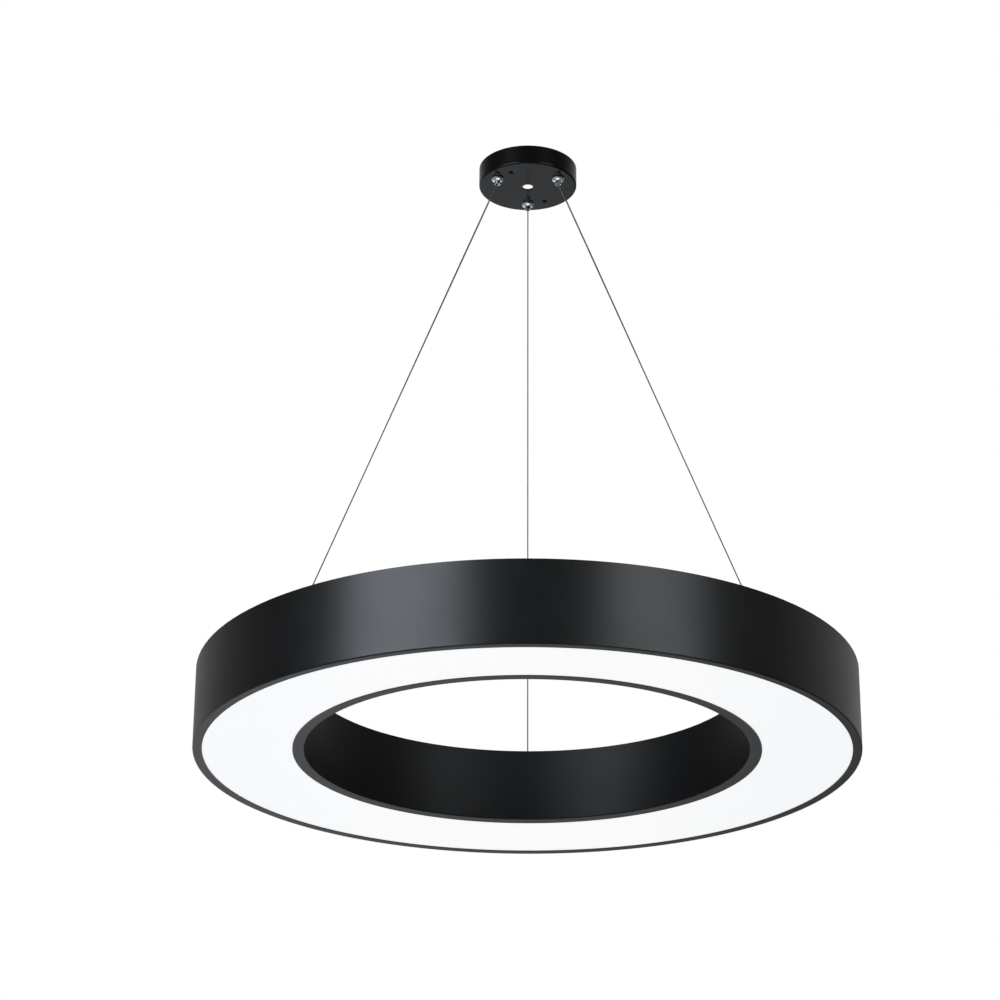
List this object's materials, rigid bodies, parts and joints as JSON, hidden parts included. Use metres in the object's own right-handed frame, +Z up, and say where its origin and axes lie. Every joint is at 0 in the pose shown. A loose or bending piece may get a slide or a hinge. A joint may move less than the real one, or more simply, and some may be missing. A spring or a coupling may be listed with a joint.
{
  "type": "ring pendant light",
  "caption": "Flat-lit LED ring that hangs from a small round ceiling canopy on thin steel cables, adjustable in height by cable grippers.",
  "frame": {"origin": "on the ceiling, at the centre of the canopy's bracket and screw pattern; the lamp hangs below it", "axes": "+Z up, along the canopy's and the ring's common axis; +Y toward the back cable, and the picture is taken from -Y and below"},
  "size_m": [0.6, 0.6, 0.6071],
  "materials": {
    "band_paint": "satin black powder coat on rolled steel sheet",
    "plate_paint": "matt black powder coat on steel plate",
    "canopy_paint": "gloss black paint on spun steel",
    "opal_diffuser": "opal acrylic, lit evenly from behind",
    "chrome": "polished chrome plating on brass",
    "zinc_steel": "zinc-plated steel",
    "spring_steel": "bright spring wire",
    "ball_steel": "hardened polished steel balls",
    "wire_rope": "stranded bright steel cable",
    "black_screw": "black oxide steel",
    "tray_aluminium": "plain aluminium sheet",
    "board_mask": "white solder mask on aluminium board",
    "led_package": "yellow phosphor in a white package",
    "driver_plastic": "moulded white polycarbonate",
    "board_green": "green circuit board with components",
    "terminal_plastic": "natural polyamide",
    "brass_clamp": "turned brass",
    "lead_sheath": "white lead sheath",
    "grommet_rubber": "black moulded rubber"
  },
  "bodies": {
    "canopy": {"ceiling_bracket": "zinc_steel", "canopy_cup": "canopy_paint", "canopy_screws": "black_screw", "earth_screw": "brass_clamp", "canopy_terminal": "terminal_plastic", "canopy_terminal_clamps": "brass_clamp", "gripper_nuts": "zinc_steel", "cable_tails": "wire_rope", "gripper_body_back": "chrome", "gripper_body_front_left": "chrome", "gripper_body_front_right": "chrome", "gripper_spring_back": "spring_steel", "gripper_spring_front_left": "spring_steel", "gripper_spring_front_right": "spring_steel"},
    "release_back": {"gripper_nozzle_back": "chrome", "gripper_balls_back": "ball_steel"},
    "release_front_left": {"gripper_nozzle_front_left": "chrome", "gripper_balls_front_left": "ball_steel"},
    "release_front_right": {"gripper_nozzle_front_right": "chrome", "gripper_balls_front_right": "ball_steel"},
    "cables": {"cable_back": "wire_rope", "cable_front_left": "wire_rope", "cable_front_right": "wire_rope"},
    "ring": {"outer_band": "band_paint", "inner_band": "band_paint", "top_plate": "plate_paint", "outer_brackets": "zinc_steel", "inner_brackets": "zinc_steel", "plate_screws": "black_screw", "diffuser": "opal_diffuser", "outer_retainer": "spring_steel", "inner_retainer": "spring_steel", "led_tray": "tray_aluminium", "tray_standoffs": "zinc_steel", "standoff_screws": "black_screw", "led_chips": "led_package", "driver_case": "driver_plastic", "driver_cover": "driver_plastic", "driver_board": "board_green", "driver_screws": "zinc_steel", "ring_terminal": "terminal_plastic", "ring_terminal_clamps": "brass_clamp", "driver_input_lead": "lead_sheath", "driver_output_lead": "lead_sheath", "cord_grommet": "grommet_rubber", "anchor_nuts": "zinc_steel", "cable_ferrules": "zinc_steel", "led_board_1": "board_mask", "led_board_2": "board_mask", "led_board_3": "board_mask", "led_board_4": "board_mask", "led_board_5": "board_mask", "led_board_6": "board_mask", "cable_anchor_back": "chrome", "cable_anchor_front_left": "chrome", "cable_anchor_front_right": "chrome"}
  },
  "joints": [
    {"name": "press_release_back", "type": "slide", "parent": "canopy", "child": "release_back", "axis": [0, 0, 1], "range_m": [0, 0.0025], "stiffness_N_per_m": 300, "springref_m": -0.002, "deforming": ["gripper_spring_back"]},
    {"name": "press_release_front_left", "type": "slide", "parent": "canopy", "child": "release_front_left", "axis": [0, 0, 1], "range_m": [0, 0.0025], "stiffness_N_per_m": 300, "springref_m": -0.002, "deforming": ["gripper_spring_front_left"]},
    {"name": "press_release_front_right", "type": "slide", "parent": "canopy", "child": "release_front_right", "axis": [0, 0, 1], "range_m": [0, 0.0025], "stiffness_N_per_m": 300, "springref_m": -0.002, "deforming": ["gripper_spring_front_right"]},
    {"name": "ring_sway", "type": "hinge", "parent": "canopy", "child": "cables", "pos_m": [0, 0, -0.0247], "axis": [1, 0, 0], "range_deg": [-4, 4]},
    {"name": "ring_height", "type": "slide", "parent": "cables", "child": "ring", "axis": [0, 0, 1], "range_m": [0, 0.3], "deforming": ["cable_back", "cable_front_left", "cable_front_right"]}
  ]
}
